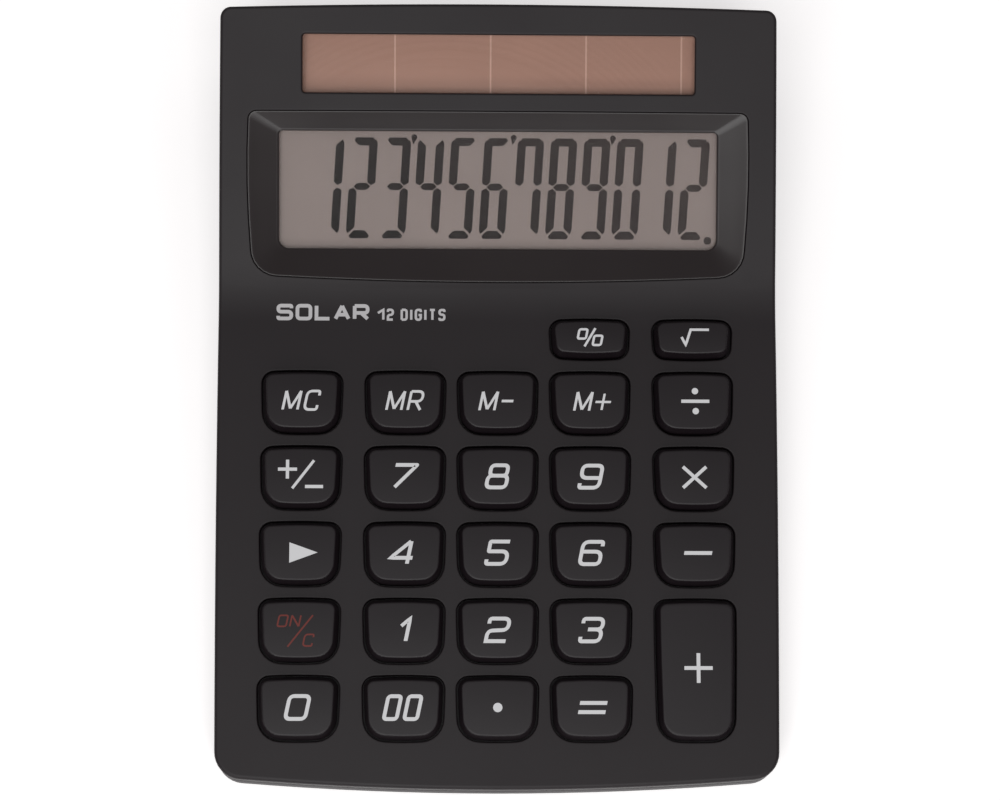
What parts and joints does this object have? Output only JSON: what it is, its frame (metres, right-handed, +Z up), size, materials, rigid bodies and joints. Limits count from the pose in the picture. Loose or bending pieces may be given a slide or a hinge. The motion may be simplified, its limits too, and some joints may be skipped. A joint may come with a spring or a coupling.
{
  "type": "desk calculator",
  "caption": "Compact solar desk calculator: wedge-shaped case, tilted twelve-digit display under a dished frame, solar window above it, and sprung square keys.",
  "frame": {"origin": "on the resting surface, under the middle of the outline", "axes": "+X across to the right, +Y from the user towards the display end, +Z up"},
  "size_m": [0.104, 0.143, 0.0311],
  "materials": {
    "case": "fine matt moulded texture",
    "case_bottom": "fine matt moulded texture",
    "frame_gloss": "satin to gloss, polished tool",
    "key_plastic": "smooth satin with printed legends",
    "clear_window": "clear acrylic",
    "solar_window": "clear acrylic with a warm tint",
    "solar_cell": "amorphous silicon behind glass",
    "key_rubber": "moulded silicone rubber",
    "board": "green solder mask over glass fibre",
    "resin": "poured resin",
    "can": "sleeved can",
    "resistor": "glazed ceramic",
    "film": "polarising film",
    "display_glass": "thin float glass",
    "reflector": "grey reflective film",
    "holder": "moulded plastic",
    "ribbon": "flexible film with printed lines",
    "lead_red": "stranded wire in a plastic sleeve",
    "lead_black": "stranded wire in a plastic sleeve",
    "steel": "zinc plated",
    "foot_rubber": "soft rubber"
  },
  "bodies": {
    "case": {"upper_case": "case", "lower_case": "case_bottom", "display_frame": "frame_gloss", "display_window": "clear_window", "solar_window": "solar_window", "solar_cell": "solar_cell", "rubber_sheet": "key_rubber", "rubber_domes": "key_rubber", "main_board": "board", "chip_cover": "resin", "buffer_capacitor": "can", "chip_resistors": "resistor", "front_polariser": "film", "front_glass": "display_glass", "rear_glass": "display_glass", "rear_reflector": "reflector", "lcd_holder": "holder", "lcd_ribbon": "ribbon", "solar_lead_red": "lead_red", "solar_lead_black": "lead_black", "case_screws": "steel", "inner_screws": "steel", "rubber_feet": "foot_rubber"},
    "key_percent": {"key_percent": "key_plastic"},
    "key_root": {"key_root": "key_plastic"},
    "key_memory_clear": {"key_memory_clear": "key_plastic"},
    "key_memory_recall": {"key_memory_recall": "key_plastic"},
    "key_memory_minus": {"key_memory_minus": "key_plastic"},
    "key_memory_plus": {"key_memory_plus": "key_plastic"},
    "key_divide": {"key_divide": "key_plastic"},
    "key_sign": {"key_sign": "key_plastic"},
    "key_7": {"key_7": "key_plastic"},
    "key_8": {"key_8": "key_plastic"},
    "key_9": {"key_9": "key_plastic"},
    "key_multiply": {"key_multiply": "key_plastic"},
    "key_right_shift": {"key_right_shift": "key_plastic"},
    "key_4": {"key_4": "key_plastic"},
    "key_5": {"key_5": "key_plastic"},
    "key_6": {"key_6": "key_plastic"},
    "key_minus": {"key_minus": "key_plastic"},
    "key_on_clear": {"key_on_clear": "key_plastic"},
    "key_1": {"key_1": "key_plastic"},
    "key_2": {"key_2": "key_plastic"},
    "key_3": {"key_3": "key_plastic"},
    "key_plus": {"key_plus": "key_plastic"},
    "key_0": {"key_0": "key_plastic"},
    "key_00": {"key_00": "key_plastic"},
    "key_point": {"key_point": "key_plastic"},
    "key_equals": {"key_equals": "key_plastic"}
  },
  "joints": [
    {"name": "key_percent_press", "type": "slide", "parent": "case", "child": "key_percent", "axis": [0, 0.0698, -0.9976], "range_m": [0, 0.0011], "stiffness_N_per_m": 500, "springref_m": -0.0004, "deforming": ["rubber_domes"]},
    {"name": "key_root_press", "type": "slide", "parent": "case", "child": "key_root", "axis": [0, 0.0698, -0.9976], "range_m": [0, 0.0011], "stiffness_N_per_m": 500, "springref_m": -0.0004, "deforming": ["rubber_domes"]},
    {"name": "key_memory_clear_press", "type": "slide", "parent": "case", "child": "key_memory_clear", "axis": [0, 0.0698, -0.9976], "range_m": [0, 0.0011], "stiffness_N_per_m": 500, "springref_m": -0.0004, "deforming": ["rubber_domes"]},
    {"name": "key_memory_recall_press", "type": "slide", "parent": "case", "child": "key_memory_recall", "axis": [0, 0.0698, -0.9976], "range_m": [0, 0.0011], "stiffness_N_per_m": 500, "springref_m": -0.0004, "deforming": ["rubber_domes"]},
    {"name": "key_memory_minus_press", "type": "slide", "parent": "case", "child": "key_memory_minus", "axis": [0, 0.0698, -0.9976], "range_m": [0, 0.0011], "stiffness_N_per_m": 500, "springref_m": -0.0004, "deforming": ["rubber_domes"]},
    {"name": "key_memory_plus_press", "type": "slide", "parent": "case", "child": "key_memory_plus", "axis": [0, 0.0698, -0.9976], "range_m": [0, 0.0011], "stiffness_N_per_m": 500, "springref_m": -0.0004, "deforming": ["rubber_domes"]},
    {"name": "key_divide_press", "type": "slide", "parent": "case", "child": "key_divide", "axis": [0, 0.0698, -0.9976], "range_m": [0, 0.0011], "stiffness_N_per_m": 500, "springref_m": -0.0004, "deforming": ["rubber_domes"]},
    {"name": "key_sign_press", "type": "slide", "parent": "case", "child": "key_sign", "axis": [0, 0.0698, -0.9976], "range_m": [0, 0.0011], "stiffness_N_per_m": 500, "springref_m": -0.0004, "deforming": ["rubber_domes"]},
    {"name": "key_7_press", "type": "slide", "parent": "case", "child": "key_7", "axis": [0, 0.0698, -0.9976], "range_m": [0, 0.0011], "stiffness_N_per_m": 500, "springref_m": -0.0004, "deforming": ["rubber_domes"]},
    {"name": "key_8_press", "type": "slide", "parent": "case", "child": "key_8", "axis": [0, 0.0698, -0.9976], "range_m": [0, 0.0011], "stiffness_N_per_m": 500, "springref_m": -0.0004, "deforming": ["rubber_domes"]},
    {"name": "key_9_press", "type": "slide", "parent": "case", "child": "key_9", "axis": [0, 0.0698, -0.9976], "range_m": [0, 0.0011], "stiffness_N_per_m": 500, "springref_m": -0.0004, "deforming": ["rubber_domes"]},
    {"name": "key_multiply_press", "type": "slide", "parent": "case", "child": "key_multiply", "axis": [0, 0.0698, -0.9976], "range_m": [0, 0.0011], "stiffness_N_per_m": 500, "springref_m": -0.0004, "deforming": ["rubber_domes"]},
    {"name": "key_right_shift_press", "type": "slide", "parent": "case", "child": "key_right_shift", "axis": [0, 0.0698, -0.9976], "range_m": [0, 0.0011], "stiffness_N_per_m": 500, "springref_m": -0.0004, "deforming": ["rubber_domes"]},
    {"name": "key_4_press", "type": "slide", "parent": "case", "child": "key_4", "axis": [0, 0.0698, -0.9976], "range_m": [0, 0.0011], "stiffness_N_per_m": 500, "springref_m": -0.0004, "deforming": ["rubber_domes"]},
    {"name": "key_5_press", "type": "slide", "parent": "case", "child": "key_5", "axis": [0, 0.0698, -0.9976], "range_m": [0, 0.0011], "stiffness_N_per_m": 500, "springref_m": -0.0004, "deforming": ["rubber_domes"]},
    {"name": "key_6_press", "type": "slide", "parent": "case", "child": "key_6", "axis": [0, 0.0698, -0.9976], "range_m": [0, 0.0011], "stiffness_N_per_m": 500, "springref_m": -0.0004, "deforming": ["rubber_domes"]},
    {"name": "key_minus_press", "type": "slide", "parent": "case", "child": "key_minus", "axis": [0, 0.0698, -0.9976], "range_m": [0, 0.0011], "stiffness_N_per_m": 500, "springref_m": -0.0004, "deforming": ["rubber_domes"]},
    {"name": "key_on_clear_press", "type": "slide", "parent": "case", "child": "key_on_clear", "axis": [0, 0.0698, -0.9976], "range_m": [0, 0.0011], "stiffness_N_per_m": 500, "springref_m": -0.0004, "deforming": ["rubber_domes"]},
    {"name": "key_1_press", "type": "slide", "parent": "case", "child": "key_1", "axis": [0, 0.0698, -0.9976], "range_m": [0, 0.0011], "stiffness_N_per_m": 500, "springref_m": -0.0004, "deforming": ["rubber_domes"]},
    {"name": "key_2_press", "type": "slide", "parent": "case", "child": "key_2", "axis": [0, 0.0698, -0.9976], "range_m": [0, 0.0011], "stiffness_N_per_m": 500, "springref_m": -0.0004, "deforming": ["rubber_domes"]},
    {"name": "key_3_press", "type": "slide", "parent": "case", "child": "key_3", "axis": [0, 0.0698, -0.9976], "range_m": [0, 0.0011], "stiffness_N_per_m": 500, "springref_m": -0.0004, "deforming": ["rubber_domes"]},
    {"name": "key_plus_press", "type": "slide", "parent": "case", "child": "key_plus", "axis": [0, 0.0698, -0.9976], "range_m": [0, 0.0011], "stiffness_N_per_m": 500, "springref_m": -0.0004, "deforming": ["rubber_domes"]},
    {"name": "key_0_press", "type": "slide", "parent": "case", "child": "key_0", "axis": [0, 0.0698, -0.9976], "range_m": [0, 0.0011], "stiffness_N_per_m": 500, "springref_m": -0.0004, "deforming": ["rubber_domes"]},
    {"name": "key_00_press", "type": "slide", "parent": "case", "child": "key_00", "axis": [0, 0.0698, -0.9976], "range_m": [0, 0.0011], "stiffness_N_per_m": 500, "springref_m": -0.0004, "deforming": ["rubber_domes"]},
    {"name": "key_point_press", "type": "slide", "parent": "case", "child": "key_point", "axis": [0, 0.0698, -0.9976], "range_m": [0, 0.0011], "stiffness_N_per_m": 500, "springref_m": -0.0004, "deforming": ["rubber_domes"]},
    {"name": "key_equals_press", "type": "slide", "parent": "case", "child": "key_equals", "axis": [0, 0.0698, -0.9976], "range_m": [0, 0.0011], "stiffness_N_per_m": 500, "springref_m": -0.0004, "deforming": ["rubber_domes"]}
  ]
}
